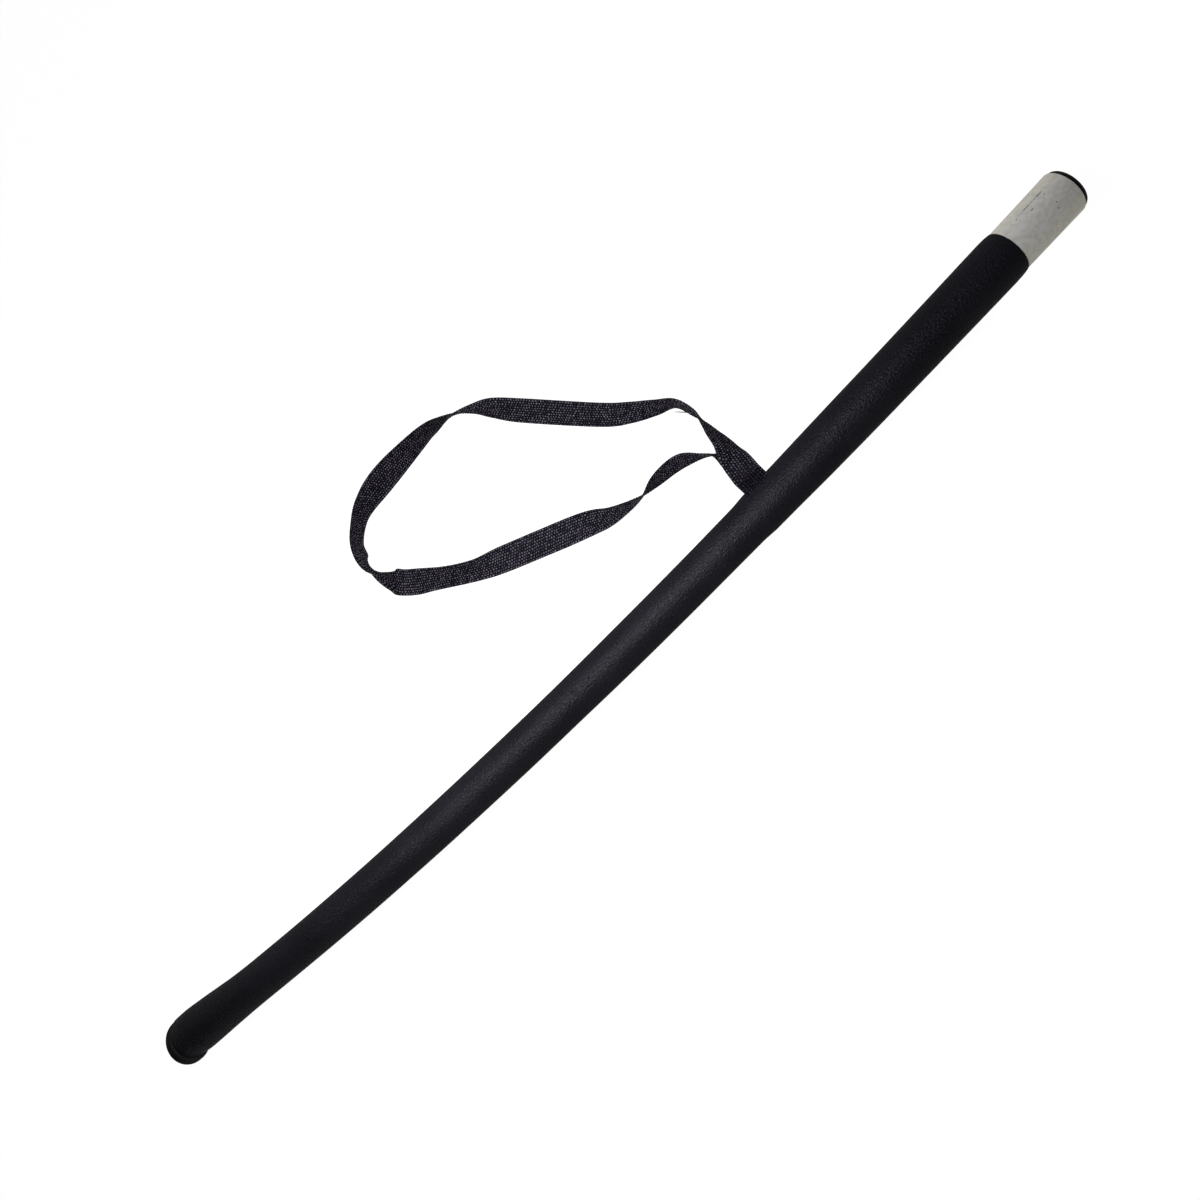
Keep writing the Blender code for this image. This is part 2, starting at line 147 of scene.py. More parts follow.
# The loop's route from the upper ply round to the lower one: x, y, z and roll in degrees
STRAP_ROUTE = [
    (0.1616, 0.0262, 0.0196, 20),
    (0.1633, 0.0354, 0.0150, 51),
    (0.1637, 0.0445, 0.0115, 66),
    (0.1641, 0.0523, 0.0095, 80),
    (0.1639, 0.0596, 0.0085, 96),
    (0.1603, 0.0709, 0.0083, 101),
    (0.1508, 0.0774, 0.0078, 116),
    (0.1390, 0.0858, 0.0070, 130),
    (0.1266, 0.0970, 0.0061, 139),
    (0.0970, 0.1309, 0.0058, 141),
    (0.0863, 0.1437, 0.0071, 128),
    (0.0780, 0.1511, 0.0082, 102),
    (0.0682, 0.1573, 0.0083, 79),
    (0.0567, 0.1609, 0.0071, 52),
    (0.0469, 0.1634, 0.0056, 36),
    (0.0301, 0.1648, 0.0035, 18),
    (0.0081, 0.1653, 0.0016, -4),
    (-0.0090, 0.1627, 0.0034, 18),
    (-0.0203, 0.1575, 0.0052, 32),
    (-0.0309, 0.1489, 0.0055, 36),
    (-0.0346, 0.1382, 0.0060, 40),
    (-0.0330, 0.1284, 0.0083, 84),
    (-0.0296, 0.1187, 0.0074, 124),
    (-0.0261, 0.1123, 0.0020, 174),
    (-0.0093, 0.0999, 0.0057, 143),
    (0.0109, 0.0872, 0.0057, 143),
    (0.0288, 0.0793, 0.0023, 171),
    (0.0529, 0.0694, 0.0010, 180),
    (0.0772, 0.0593, 0.0040, 158),
    (0.0889, 0.0532, 0.0066, 134),
    (0.1000, 0.0497, 0.0078, 115),
    (0.1109, 0.0477, 0.0083, 97),
    (0.1225, 0.0483, 0.0081, 71),
    (0.1337, 0.0478, 0.0077, 62),
    (0.1422, 0.0456, 0.0078, 64),
    (0.1500, 0.0407, 0.0088, 82),
    (0.1562, 0.0354, 0.0100, 96),
    (0.1601, 0.0289, 0.0120, 132),
    (0.1616, 0.0232, 0.0152, 152),
]


# --- Places on the stick -------------------------------------------------------------------------


def axis_point(along):
    """The stick's centre at a distance along it from the foot."""
    x = along * CHORD / CANE_LENGTH - CHORD / 2
    part = 2 * x / CHORD
    side = BOW_SIDE * part ** 2 + BOW_SWAY * (part - SWAY_RETURN * part ** 3) - BOW_CENTRE
    height = BELLY_HEIGHT + BOW_RISE * (part - BELLY_PLACE) ** 2
    return Vector((x, side, height))


def axis_frame(along, lean=0.0):
    """Matrix at a station: X along the stick, Y outwards at an angle above the horizontal."""
    forward = (axis_point(along + MM) - axis_point(along - MM)).normalized()
    sideways = Vector((0, 0, 1)).cross(forward).normalized()
    upwards = forward.cross(sideways)
    outwards = sideways * math.cos(lean) + upwards * math.sin(lean)
    turn = Matrix((forward, outwards, forward.cross(outwards))).transposed()
    return Matrix.Translation(axis_point(along)) @ turn.to_4x4()


# --- Camera, floor and light ---------------------------------------------------------------------


def make_camera():
    data = bpy.data.cameras.new("camera")
    data.lens = CAMERA_LENS
    data.sensor_width = 36.0
    camera = bpy.data.objects.new("camera", data)
    bpy.context.scene.collection.objects.link(camera)
    camera.location = CAMERA_PLACE
    camera.rotation_euler = [math.radians(angle) for angle in CAMERA_TURN]
    bpy.context.scene.camera = camera


def make_key_light():
    """Soft box close above the stick, its length along it."""
    data = bpy.data.lights.new("key_light", "AREA")
    data.energy = KEY_ENERGY
    data.shape = "RECTANGLE"
    data.size, data.size_y = KEY_SIZE
    light = bpy.data.objects.new("key_light", data)
    bpy.context.scene.collection.objects.link(light)
    light.location = KEY_PLACE
    direction = Vector(KEY_TARGET) - Vector(KEY_PLACE)
    light.rotation_euler = direction.to_track_quat("-Z", "Y").to_euler()
    light.visible_camera = False


def make_world():
    """Pale studio walls at the horizon, a dim ceiling above and soft bounced light from below."""
    world = bpy.data.worlds.new("studio")
    world.use_nodes = True
    bpy.context.scene.world = world
    tree = world.node_tree
    background = tree.nodes["Background"]
    place = tree.nodes.new("ShaderNodeTexCoord")
    split = tree.nodes.new("ShaderNodeSeparateXYZ")
    tree.links.new(place.outputs["Generated"], split.inputs[0])
    above = remap(tree, split.outputs["Z"], 0.02, 0.32, 0.50, 0.04)
    below = remap(tree, split.outputs["Z"], -0.06, 0.0, 0.30, 1.0)
    tree.links.new(combine(tree, "MULTIPLY", above, below), background.inputs["Color"])


def make_floor():
    data = bpy.data.meshes.new("floor")
    reach = 20.0
    corners = [(-reach, -reach, 0), (reach, -reach, 0), (reach, reach, 0), (-reach, reach, 0)]
    data.from_pydata(corners, [], [(0, 1, 2, 3)])
    floor = bpy.data.objects.new("floor", data)
    bpy.context.scene.collection.objects.link(floor)
    floor.location.z = -0.2 * MM
    floor.visible_glossy = False
    material, tree, shader = new_material("pale_floor", 0.8)
    shader.inputs["Base Color"].default_value = (0.20, 0.20, 0.20, 1)
    shader.inputs["Specular IOR Level"].default_value = 0.0
    shader.inputs["Emission Color"].default_value = (1, 1, 1, 1)
    shader.inputs["Emission Strength"].default_value = 0.98
    data.materials.append(material)


# --- Node helpers --------------------------------------------------------------------------------


def new_material(name, roughness):
    material = bpy.data.materials.new(name)
    material.use_nodes = True
    tree = material.node_tree
    shader = tree.nodes["Principled BSDF"]
    shader.inputs["Roughness"].default_value = roughness
    return material, tree, shader


def connect(tree, source, shader, name):
    tree.links.new(source, shader.inputs[name])


def coordinates(tree, kind="Object"):
    return tree.nodes.new("ShaderNodeTexCoord").outputs[kind]


def stretched(tree, source, scale):
    """Coordinates with each axis scaled."""
    mapping = tree.nodes.new("ShaderNodeMapping")
    mapping.inputs["Scale"].default_value = scale
    tree.links.new(source, mapping.inputs["Vector"])
    return mapping.outputs["Vector"]


def noise_value(tree, source, scale, detail=3.0, roughness=0.5):
    node = tree.nodes.new("ShaderNodeTexNoise")
    node.inputs["Scale"].default_value = scale
    node.inputs["Detail"].default_value = detail
    node.inputs["Roughness"].default_value = roughness
    tree.links.new(source, node.inputs["Vector"])
    return node.outputs["Fac"]


def cell_distance(tree, source, scale):
    node = tree.nodes.new("ShaderNodeTexVoronoi")
    node.feature = "SMOOTH_F1"
    node.inputs["Scale"].default_value = scale
    node.inputs["Smoothness"].default_value = 0.4
    tree.links.new(source, node.inputs["Vector"])
    return node.outputs["Distance"]


def remap(tree, source, low, high, new_low=0.0, new_high=1.0):
    node = tree.nodes.new("ShaderNodeMapRange")
    node.interpolation_type = "SMOOTHSTEP"
    node.inputs["From Min"].default_value = low
    node.inputs["From Max"].default_value = high
    node.inputs["To Min"].default_value = new_low
    node.inputs["To Max"].default_value = new_high
    tree.links.new(source, node.inputs["Value"])
    return node.outputs["Result"]


def combine(tree, operation, first, second):
    """Math node; each of the two inputs is a socket or a number."""
    node = tree.nodes.new("ShaderNodeMath")
    node.operation = operation
    for socket, value in zip(node.inputs, (first, second)):
        if isinstance(value, (int, float)):
            socket.default_value = value
        else:
            tree.links.new(value, socket)
    return node.outputs["Value"]


def mix_colour(tree, factor, first, second):
    """Mix of two colours; each is a socket or three numbers."""
    node = tree.nodes.new("ShaderNodeMix")
    node.data_type = "RGBA"
    tree.links.new(factor, node.inputs["Factor"])
    for socket, value in ((node.inputs[6], first), (node.inputs[7], second)):
        if isinstance(value, tuple):
            socket.default_value = (*value, 1.0)
        else:
            tree.links.new(value, socket)
    return node.outputs[2]


def add_bump(tree, shader, height, distance, strength=1.0):
    """Bump after any bump that the shader already has."""
    node = tree.nodes.new("ShaderNodeBump")
    node.inputs["Strength"].default_value = strength
    node.inputs["Distance"].default_value = distance
    tree.links.new(height, node.inputs["Height"])
    normal = shader.inputs["Normal"]
    if normal.is_linked:
        tree.links.new(normal.links[0].from_socket, node.inputs["Normal"])
    tree.links.new(node.outputs["Normal"], normal)


def spot(tree, along, angle, radius, length, width):
    """Soft mark on a round part's surface: 1 at its middle, 0 at its oval outline."""
    frame_there = axis_frame(along, math.radians(angle))
    mapping = tree.nodes.new("ShaderNodeMapping")
    mapping.vector_type = "TEXTURE"
    mapping.inputs["Location"].default_value = frame_there @ Vector((0, radius, 0))
    mapping.inputs["Rotation"].default_value = frame_there.to_euler()
    mapping.inputs["Scale"].default_value = (length / 2, width / 2, width / 2)
    tree.links.new(coordinates(tree), mapping.inputs["Vector"])
    reach = tree.nodes.new("ShaderNodeVectorMath")
    reach.operation = "LENGTH"
    tree.links.new(mapping.outputs["Vector"], reach.inputs[0])
    return remap(tree, reach.outputs["Value"], 0.2, 1.0, 1.0, 0.0)


def mark(tree, place, radius):
    """Spot from one row of the lists of marks."""
    along, angle, length, width = place
    return spot(tree, along * MM, angle, radius, length * MM, width * MM)


# --- Materials -----------------------------------------------------------------------------------


def sleeve_rubber():
    """Satin black rubber with a fine pebbled skin, an uneven sheen and two nicks."""
    material, tree, shader = new_material("sleeve_rubber_skin", 0.5)
    place = coordinates(tree)
    tone = remap(tree, noise_value(tree, place, 28.0), 0.3, 0.7)
    colour = mix_colour(tree, tone, (0.0076, 0.0072, 0.0100), (0.0104, 0.0098, 0.0134))
    pebbles = cell_distance(tree, place, 850.0)
    nick_one, nick_two = [mark(tree, nick, 12.5 * MM) for nick in SLEEVE_NICKS]
    nicks = combine(tree, "MAXIMUM", nick_one, nick_two)
    connect(tree, mix_colour(tree, nicks, colour, (0.003, 0.003, 0.003)), shader, "Base Color")
    worn = remap(tree, noise_value(tree, place, 55.0), 0.3, 0.7, 0.92, 1.08)
    grain = remap(tree, noise_value(tree, place, 850.0, 1.0), 0.40, 0.60, 0.20, 0.52)
    connect(tree, combine(tree, "MULTIPLY", worn, grain), shader, "Roughness")
    shader.inputs["Specular IOR Level"].default_value = 0.12
    shader.inputs["Specular Tint"].default_value = (0.95, 0.93, 1.0, 1.0)
    add_bump(tree, shader, pebbles, 0.30 * MM)
    add_bump(tree, shader, noise_value(tree, place, 1500.0), 0.30 * MM)
    add_bump(tree, shader, combine(tree, "SUBTRACT", 1.0, nicks), 0.35 * MM)
    return material


def galvanised_steel():
    """Matt mottled zinc: cool in the middle, warmer streaks lengthwise, a scratch and small pits."""
    material, tree, shader = new_material("galvanised_skin", 0.5)
    place = coordinates(tree)
    streaks = noise_value(tree, stretched(tree, place, (0.12, 1.0, 1.0)), 190.0)
    mottle = noise_value(tree, place, 420.0, 4.0)
    cool_band = spot(tree, 704.0 * MM, 78, TUBE_RADIUS, 110.0 * MM, 27.0 * MM)
    sides = combine(tree, "SUBTRACT", 1.0, cool_band)
    warmth = combine(tree, "MAXIMUM", sides, remap(tree, streaks, 0.44, 0.68, 0.0, 0.8))
    base = mix_colour(tree, warmth, (0.82, 0.82, 0.82), (0.82, 0.78, 0.66))
    cloudy = mix_colour(tree, remap(tree, mottle, 0.35, 0.70), base, (0.70, 0.68, 0.62))
    broken = remap(tree, noise_value(tree, place, 700.0), 0.36, 0.50)
    pits = combine(tree, "MULTIPLY", mark(tree, TUBE_SCRATCH, TUBE_RADIUS), broken)
    for pit in TUBE_PITS:
        pits = combine(tree, "MAXIMUM", pits, mark(tree, pit, TUBE_RADIUS))
    connect(tree, mix_colour(tree, pits, cloudy, (0.22, 0.20, 0.20)), shader, "Base Color")
    connect(tree, remap(tree, mottle, 0.3, 0.7, 0.48, 0.62), shader, "Roughness")
    shader.inputs["Metallic"].default_value = 0.10
    add_bump(tree, shader, mottle, 0.05 * MM, 0.5)
    add_bump(tree, shader, combine(tree, "SUBTRACT", 1.0, pits), 0.10 * MM)
    return material


def plug_plastic():
    material, tree, shader = new_material("plug_plastic_skin", 0.45)
    place = coordinates(tree)
    tone = remap(tree, noise_value(tree, place, 160.0), 0.35, 0.65)
    colour = mix_colour(tree, tone, (0.006, 0.006, 0.006), (0.011, 0.010, 0.010))
    connect(tree, colour, shader, "Base Color")
    worn = remap(tree, noise_value(tree, place, 300.0), 0.3, 0.7, 0.42, 0.58)
    connect(tree, worn, shader, "Roughness")
    shader.inputs["Specular IOR Level"].default_value = 0.25
    add_bump(tree, shader, noise_value(tree, place, 1500.0), 0.03 * MM, 0.6)
    return material


def tip_rubber():
    """Matt moulded rubber, greyer on the underside where it has met the ground."""
    material, tree, shader = new_material("tip_rubber_skin", 0.65)
    place = coordinates(tree)
    tone = remap(tree, noise_value(tree, place, 120.0), 0.35, 0.65)
    clean = mix_colour(tree, tone, (0.006, 0.006, 0.006), (0.010, 0.010, 0.010))
    underside = spot(tree, 0.0, 0, 0.0, 3.0 * MM, 44.0 * MM)
    patches = remap(tree, noise_value(tree, place, 500.0, 5.0), 0.45, 0.65)
    dust = combine(tree, "MULTIPLY", underside, patches)
    connect(tree, mix_colour(tree, dust, clean, (0.05, 0.046, 0.04)), shader, "Base Color")
    shader.inputs["Specular IOR Level"].default_value = 0.25
    add_bump(tree, shader, noise_value(tree, place, 900.0, 4.0), 0.08 * MM, 0.5)
    return material


def plain_steel(name, colour):
    material, tree, shader = new_material(name, 0.35)
    place = coordinates(tree)
    drawn = noise_value(tree, stretched(tree, place, (0.05, 1.0, 1.0)), 600.0)
    darker = tuple(0.8 * part for part in colour)
    connect(tree, mix_colour(tree, drawn, colour, darker), shader, "Base Color")
    shader.inputs["Metallic"].default_value = 1.0
    add_bump(tree, shader, drawn, 0.02 * MM, 0.5)
    return material


def webbing_yarn():
    """Black yarn with a purple-grey cast, with painted shade darkening it in the gaps between the floats
    and round the strap's root.
    """
    material, tree, shader = new_material("webbing_yarn", 0.8)
    weave = tree.nodes.new("ShaderNodeAttribute")
    weave.attribute_name = "weave"
    crest = remap(tree, weave.outputs["Fac"], 0.42, 0.64)
    flat_place = coordinates(tree, "UV")
    fibres = noise_value(tree, stretched(tree, flat_place, (260.0, 2400.0, 1.0)), 1.0, 2.0)
    worn = noise_value(tree, flat_place, 90.0, 2.0)
    lit = remap(tree, fibres, 0.35, 0.65)
    bright = mix_colour(tree, lit, (0.070, 0.063, 0.079), (0.140, 0.126, 0.157))
    rubbed = remap(tree, worn, 0.35, 0.65, 0.0, 0.5)
    top = mix_colour(tree, rubbed, bright, (0.068, 0.062, 0.075))
    # Painted shade: the strap's colour is darkened round its root, where it goes into the sleeve's slot
    root_shade = spot(tree, STRAP_STATION, math.degrees(STRAP_RISE), 18.0 * MM, 30.0 * MM, 30.0 * MM)
    worn_and_shaded_top = mix_colour(tree, root_shade, top, (0.022, 0.019, 0.026))
    # Painted shade: the gaps between the floats get a near-black colour, and the floats' tops keep the
    # yarn's colour
    connect(tree, mix_colour(tree, crest, (0.002, 0.0012, 0.005), worn_and_shaded_top), shader, "Base Color")
    shader.inputs["Specular IOR Level"].default_value = 0.10
    add_bump(tree, shader, fibres, 0.06 * MM, 0.6)
    return material


# --- Pieces --------------------------------------------------------------------------------------


def add_piece(name, points, faces, material):
    data = bpy.data.meshes.new(name)
    data.from_pydata(points, [], faces)
    data.materials.append(material)
    data.shade_smooth()
    piece = bpy.data.objects.new(name, data)
    bpy.context.scene.collection.objects.link(piece)
    return piece


def divide_runs(profile, longest):
    """Add points on the long runs of a profile of (along, radius), so that it follows the bow."""
    points = []
    for (along, radius), (next_along, next_radius) in zip(profile, profile[1:]):
        pieces = max(1, math.ceil(abs(next_along - along) / longest))
        for piece in range(pieces):
            share = piece / pieces
            reached = along + share * (next_along - along)
            points.append((reached, radius + share * (next_radius - radius)))
    return points + [profile[-1]]


def turned_piece(name, profile, material, closed=False, swell=None, shift=None):
    """Round piece swept along the stick from a profile of (along, radius).

    swell adds to the radius and shift moves a ring sideways; a closed profile is a tube's wall.
    """
    sides = ROUND_SIDES
    points = []
    faces = []
    profile = divide_runs(profile + profile[:1] if closed else profile, LONGEST_RUN)
    if closed:
        profile = profile[:-1]
    for along, radius in profile:
        matrix = axis_frame(along)
        offset = shift(along) if shift else 0.0
        for side in range(sides):
            angle = 2 * math.pi * side / sides
            reach = radius + (swell(along, angle) if swell else 0.0)
            outwards = offset + reach * math.cos(angle)
            points.append(matrix @ Vector((0, outwards, reach * math.sin(angle))))
    rings = len(profile)
    for ring in range(rings if closed else rings - 1):
        following = (ring + 1) % rings
        here = ring * sides
        there = following * sides
        for side in range(sides):
            other = (side + 1) % sides
            faces.append((here + side, here + other, there + other, there + side))
    if not closed:
        faces.append(tuple(reversed(range(sides))))
        faces.append(tuple(range((rings - 1) * sides, rings * sides)))
    piece = add_piece(name, points, faces, material)
    piece.data.set_sharp_from_angle(angle=SHARP_ANGLE)
    return piece


def keyed(keys, where):
    """Value at a place, straight between (place, value) keys."""
    for (place, value), (next_place, next_value) in zip(keys, keys[1:]):
        if where <= next_place:
            share = max(0.0, (where - place) / (next_place - place))
            return value + share * (next_value - value)
    return keys[-1][1]


def hill(distance, width):
    """Smooth hump: 1 at the middle and nearly 0 at twice its width."""
    return math.exp(-(distance / width) ** 2)


def sleeve_radius(along):
    """The sleeve's radius at a station, as a mean of the places about it, which softens the steps."""
    first = SLEEVE_RADII[0][0]
    total = sum(keyed(SLEEVE_RADII, max(first, along / MM + step)) for step in RADIUS_SPREAD)
    return total / len(RADIUS_SPREAD) * MM


def arc_from(angle, middle):
    """Distance round the sleeve from one angle to another, the short way."""
    turn = (angle - middle + math.pi) % (2 * math.pi) - math.pi
    return SLEEVE_MEAN_RADIUS * turn


def sleeve_swell(along, angle):
    """Lip round the slot, bump over the pin, and the slight unevenness of stretched rubber."""
    from_slot = arc_from(angle, STRAP_RISE)
    past_end = max(0.0, abs(along - STRAP_STATION) - LIP_REACH)
    past_side = max(0.0, abs(from_slot) - SLOT_HEIGHT / 2)
    lip = 0.45 * MM * hill(math.hypot(past_end, past_side), 1.7 * MM)
    from_pin = math.hypot(along - PIN_STATION, arc_from(angle, PIN_ANGLE))
    bump = 0.35 * MM * hill(from_pin, 1.9 * MM)
    round_place = Vector((along * 22, 0.5 * math.cos(angle), 0.5 * math.sin(angle)))
    uneven = 0.09 * MM * noise.noise(round_place)
    belly = 0.35 * MM * hill(along - 40 * MM, 16 * MM) * max(0.0, math.cos(angle))
    return lip + bump + uneven + belly


def slot_cutter():
    """Hidden box where the webbing passes through the sleeve and the tube."""
    root = axis_frame(STRAP_STATION, STRAP_RISE)
    corners = []
    for x in (-SLOT_LENGTH / 2, SLOT_LENGTH / 2):
        for y in (SLOT_FLOOR, SLOT_TOP):
            for z in (-SLOT_HEIGHT / 2, SLOT_HEIGHT / 2):
                corners.append(root @ Vector((x, y, z)))
    faces = [(0, 1, 3, 2), (4, 6, 7, 5), (0, 4, 5, 1), (2, 3, 7, 6), (0, 2, 6, 4), (1, 5, 7, 3)]
    data = bpy.data.meshes.new("slot_cutter")
    data.from_pydata(corners, [], faces)
    cutter = bpy.data.objects.new("slot_cutter", data)
    bpy.context.scene.collection.objects.link(cutter)
    return cutter


def cut_slot(piece, cutter):
    boolean = piece.modifiers.new("slot", "BOOLEAN")
    boolean.object = cutter
    boolean.solver = "EXACT"
    boolean.operation = "DIFFERENCE"
    scene_now = bpy.context.evaluated_depsgraph_get()
    finished = bpy.data.meshes.new_from_object(piece.evaluated_get(scene_now))
    piece.modifiers.clear()
    piece.data = finished


def rubber_sleeve(cutter):
    profile = []
    last = SLEEVE_END - 8.0 * MM
    for number in range(SLEEVE_STATIONS + 1):
        along = SLEEVE_START + (last - SLEEVE_START) * number / SLEEVE_STATIONS
        profile.append((along, sleeve_radius(along)))
    full = sleeve_radius(SLEEVE_END)
    profile += [(SLEEVE_END + step * MM, full + drop * MM) for step, drop in MOUTH_ROUND]
    over_tube = TUBE_RADIUS + SLEEVE_FIT
    over_inner_tube = 11.4 * MM
    over_foot = 13.6 * MM
    profile += [(SLEEVE_END, over_tube), (TUBE_START, over_tube)]
    profile += [(TUBE_START - 1.5 * MM, over_inner_tube), (SOCKET_LENGTH + 6 * MM, over_inner_tube)]
    profile += [(FOOT_NECK_END, over_foot), (SLEEVE_START, over_foot)]
    sleeve = turned_piece("rubber_sleeve", profile, sleeve_rubber(), closed=True, swell=sleeve_swell)
    cut_slot(sleeve, cutter)
    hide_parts("sleeve")
    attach(sleeve, "stick")


def rounded_corner(along, radius, size, start, steps=6):
    """Quarter round on a profile, given its centre, its size and the angle that it starts from."""
    points = []
    for step in range(steps + 1):
        angle = math.radians(start + 90 * step / steps)
        points.append((along + size * math.sin(angle), radius + size * math.cos(angle)))
    return points


def bare_tube(cutter):
    edge = 0.35 * MM
    profile = [(TUBE_START, TUBE_BORE), (TUBE_START, TUBE_RADIUS)]
    profile.append((RIM - edge, TUBE_RADIUS))
    profile += rounded_corner(RIM - edge, TUBE_RADIUS - edge, edge, 0)[1:]
    profile.append((RIM, TUBE_BORE + 0.2 * MM))
    profile.append((RIM - 0.2 * MM, TUBE_BORE))
    tube = turned_piece("bare_tube", profile, galvanised_steel(), closed=True)
    cut_slot(tube, cutter)
    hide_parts("upper_tube")
    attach(tube, "stick")


def end_plug():
    rounding = 1.9 * MM
    stem = TUBE_BORE - 0.5 * MM
    seat = RIM + 0.15 * MM
    stem_end = RIM - PLUG_DEPTH
    profile = [(stem_end, stem - 1.5 * MM), (stem_end + 1.5 * MM, stem), (seat, stem), (seat, PLUG_HEAD)]
    profile += rounded_corner(CANE_LENGTH - rounding, PLUG_HEAD - rounding, rounding, 0, 9)
    profile.append((CANE_LENGTH, FLAT_RADIUS))
    plug = turned_piece("end_plug", profile, plug_plastic())
    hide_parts("top_plug")
    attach(plug, "stick")


def foot_shift(along):
    """The foot sits off centre below its neck."""
    return -FOOT_OFFSET * max(0.0, min(1.0, (FOOT_HEIGHT + MM - along) / MM))


def foot_tip():
    """Rubber foot: flat, round-edged and a little off centre, with a socket inside the sleeve."""
    rounding = 2.4 * MM
    neck = 13.2 * MM
    profile = [(0.0, FLAT_RADIUS)]
    profile += rounded_corner(rounding, FOOT_RADIUS - rounding, rounding, -90, 9)
    for above, inwards in ((-1.6, 0.1), (-0.6, 0.6), (0.0, 1.5)):
        profile.append((FOOT_HEIGHT + above * MM, FOOT_RADIUS - inwards * MM))
    profile += [(FOOT_HEIGHT + 0.4 * MM, neck), (FOOT_NECK_END, neck)]
    profile.append((SOCKET_LENGTH, 11.3 * MM))
    tip = turned_piece("foot_tip", profile, tip_rubber(), shift=foot_shift)
    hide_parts("end_tip")
    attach(tip, "stick")


# --- Webbing -------------------------------------------------------------------------------------


def strap_route():
    """The whole strap: upper tail, fold, loop, fold and lower tail, each point with its roll."""
    root = axis_frame(STRAP_STATION, STRAP_RISE)
    distances = (-TAIL_DEPTH, TAIL_BEND, FREE_START, FREE_START + STRAP_LEAD)
    out = [(*(root @ Vector((0, distance, PLY_CENTRE))), 0.0) for distance in distances]
    back = [(*(root @ Vector((0, distance, -PLY_CENTRE))), 180.0) for distance in reversed(distances)]
    return out + STRAP_ROUTE + back


def between(before, start, end, after, share):
    """Point on the smooth curve from start to end that heads on to the points beside them."""
    slope = (end - before) * share
    bend = (2 * before - 5 * start + 4 * end - after) * share ** 2
    twist = (3 * start - before - 3 * end + after) * share ** 3
    return 0.5 * (2 * start + slope + bend + twist)


def smooth_route(points, spacing):
    """Points at an even spacing on a smooth curve through a list of points of any size."""
    dense = []
    last = len(points) - 1
    for index in range(last):
        before = Vector(points[max(index - 1, 0)])
        start = Vector(points[index])
        end = Vector(points[index + 1])
        after = Vector(points[min(index + 2, last)])
        for step in range(CURVE_STEPS):
            dense.append(between(before, start, end, after, step / CURVE_STEPS))
    dense.append(Vector(points[-1]))
    lengths = [0.0]
    for first, second in zip(dense, dense[1:]):
        lengths.append(lengths[-1] + (Vector(second[:3]) - Vector(first[:3])).length)
    count = round(lengths[-1] / spacing)
    even = []
    position = 0
    for sample in range(count + 1):
        target = lengths[-1] * sample / count
        while position < len(dense) - 2 and lengths[position + 1] < target:
            position += 1
        share = (target - lengths[position]) / (lengths[position + 1] - lengths[position])
        even.append(dense[position].lerp(dense[position + 1], share))
    return even, lengths[-1]


def float_height(along, across, back):
    """Height of the weave's surface, 0 in a gap and 1 on a float; no two floats are quite alike."""
    wander = 0.25 * noise.noise(Vector((along * 330, across * 330, back * 5)))
    place = across / YARN_PITCH + wander
    column = math.floor(place)
    round_yarn = abs(math.sin(math.pi * place)) ** 0.8
    drift = 0.45 * noise.noise(Vector((along * 260, column * 3.7, back * 9)))
    phase = along / FLOAT_PITCH + 0.5 * ((column + back) % 2) + drift
    lengthwise = (0.5 + 0.5 * math.cos(2 * math.pi * phase)) ** 0.7
    fullness = 0.8 + 0.2 * noise.cell(Vector((column + 0.5, math.floor(phase + 0.5) + 0.5, back + 0.5)))
    return fullness * round_yarn * (0.15 + 0.85 * lengthwise)


def strap_rings(samples, length):
    """Rings of points round the strap, one for each sample, with the weave's height at each point."""
    places = [Vector(sample[:3]) for sample in samples]
    lanes = YARN_LANES * YARN_COUNT
    core = WEBBING_THICKNESS / 2 - FLOAT_HEIGHT
    points = []
    weave = []
    for index, sample in enumerate(samples):
        ahead = places[min(index + 1, len(places) - 1)]
        behind = places[max(index - 1, 0)]
        forward = (ahead - behind).normalized()
        level = Vector((0, 0, 1)).cross(forward).normalized()
        roll = math.radians(sample[3])
        width_way = level * math.cos(roll) + forward.cross(level) * math.sin(roll)
        face_way = forward.cross(width_way)
        along = length * index / (len(samples) - 1)
        for back in (0, 1):
            for lane in range(lanes + 1):
                across = (lane / lanes - 0.5) * WEBBING_WIDTH
                edge = abs(2 * lane / lanes - 1)
                selvedge = 0.48 * edge ** EDGE_POWER
                height = max(float_height(along, across + WEBBING_WIDTH, back), selvedge)
                fullness = 0.5 + 0.5 * math.sqrt(max(0.0, 1 - edge ** EDGE_POWER))
                half = (core + FLOAT_HEIGHT * height) * fullness
                wave = 0.10 * MM * math.cos(2 * math.pi * along / FLOAT_PITCH) * edge ** 6
                side = across + math.copysign(wave, across)
                offset = -half if back else half
                points.append(places[index] + width_way * side + face_way * offset)
                weave.append(height)
    return points, weave


def ring_faces(rings, lanes):
    """Faces of a closed strap whose rings run along the front and then along the back."""
    ring = 2 * (lanes + 1)
    order = list(range(lanes + 1)) + list(range(ring - 1, lanes, -1))
    faces = []
    for index in range(rings - 1):
        start = index * ring
        for first, second in zip(order, order[1:] + order[:1]):
            faces.append((start + first, start + second, start + ring + second, start + ring + first))
    faces.append(tuple(reversed(order)))
    faces.append(tuple((rings - 1) * ring + corner for corner in order))
    return faces


def lay_out(strap, spacing, lanes):
    """Flat coordinates in metres along and across the strap, for its fibres."""
    spread = strap.data.uv_layers.new(name="UVMap")
    for loop in strap.data.loops:
        row, lane = divmod(loop.vertex_index, 2 * (lanes + 1))
        spread.data[loop.index].uv = (row * spacing, lane % (lanes + 1) * WEBBING_WIDTH / lanes)


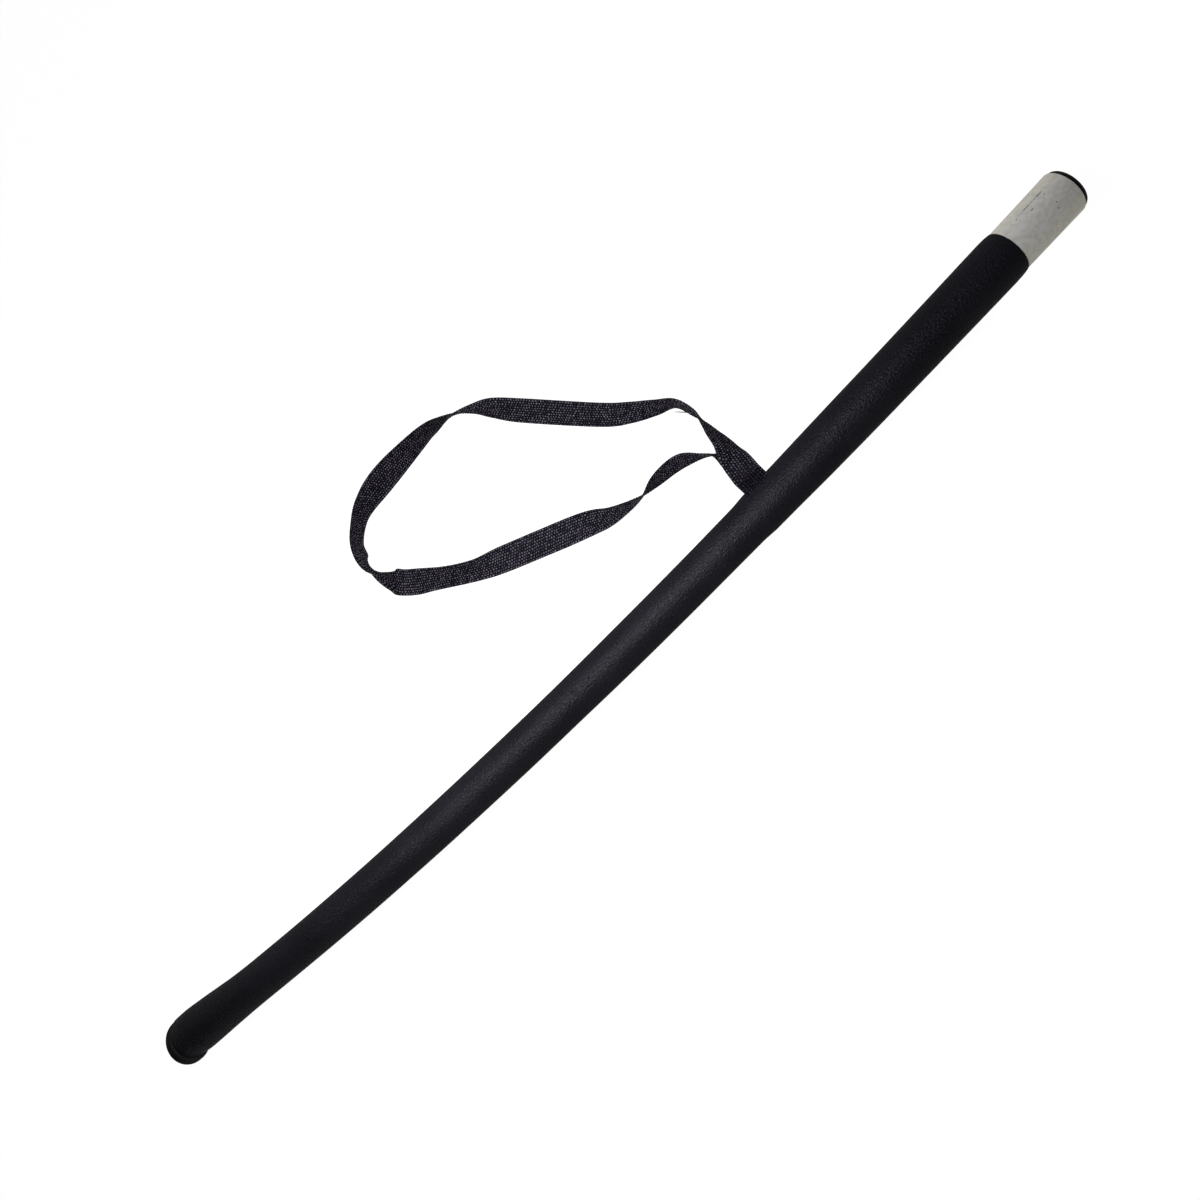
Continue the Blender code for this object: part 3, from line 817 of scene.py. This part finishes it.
def wrist_strap():
    """Woven strap as one piece, tails and loop together."""
    spacing = FLOAT_PITCH / FLOAT_STEPS
    lanes = YARN_LANES * YARN_COUNT
    samples, length = smooth_route(strap_route(), spacing)
    points, weave = strap_rings(samples, length)
    strap = add_piece("wrist_strap", points, ring_faces(len(samples), lanes), webbing_yarn())
    crest = strap.data.attributes.new("weave", "FLOAT", "POINT")
    crest.data.foreach_set("value", weave)
    lay_out(strap, spacing, lanes)
    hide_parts("strap_loop", "strap_tail_upper", "strap_tail_lower")
    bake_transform(strap)


def loose_thread():
    """Frayed end of one yarn at the strap's inner edge."""
    route = [
        (163.3, 60.6, 9.0), (161.6, 62.6, 8.6), (159.9, 64.6, 8.2), (158.3, 66.4, 8.0), (156.8, 68.0, 8.0),
    ]
    taper = (1.0, 1.0, 0.9, 0.8, 0.4)
    data = bpy.data.curves.new("loose_thread", "CURVE")
    data.dimensions = "3D"
    data.bevel_depth = 0.30 * MM
    data.bevel_resolution = 2
    data.use_fill_caps = True
    line = data.splines.new("BEZIER")
    line.bezier_points.add(len(route) - 1)
    for point, place, thickness in zip(line.bezier_points, route, taper):
        point.co = Vector(place) * MM
        point.radius = thickness
        point.handle_left_type = "AUTO"
        point.handle_right_type = "AUTO"
    data.materials.append(yarn_end())
    thread = bpy.data.objects.new("loose_thread", data)
    bpy.context.scene.collection.objects.link(thread)
    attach(thread, "strap")


def yarn_end():
    material, tree, shader = new_material("yarn_end", 0.6)
    place = coordinates(tree)
    twist = noise_value(tree, place, 1800.0)
    colour = mix_colour(tree, twist, (0.010, 0.009, 0.012), (0.035, 0.032, 0.042))
    connect(tree, colour, shader, "Base Color")
    add_bump(tree, shader, twist, 0.05 * MM)
    return material


def hidden_steel():
    """Better finishes on the CAD parts that stay: inner tube, foot washer and cross pin."""
    finishes = {
        "lower_tube": plain_steel("inner_tube_steel", (0.40, 0.40, 0.41)),
        "tip_washer": plain_steel("washer_zinc", (0.55, 0.55, 0.53)),
        "strap_pin": plain_steel("pin_steel_bright", (0.60, 0.60, 0.60)),
    }
    for node, material in finishes.items():
        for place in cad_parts[node].material_slots:
            place.material = material


# --- Scene ---------------------------------------------------------------------------------------

make_camera()
wrist_strap()
loose_thread()
make_world()
make_floor()
make_key_light()
bpy.context.scene.view_settings.view_transform = "Standard"

cutter = slot_cutter()
rubber_sleeve(cutter)
bare_tube(cutter)
bpy.data.objects.remove(cutter, do_unlink=True)
end_plug()
foot_tip()
hidden_steel()
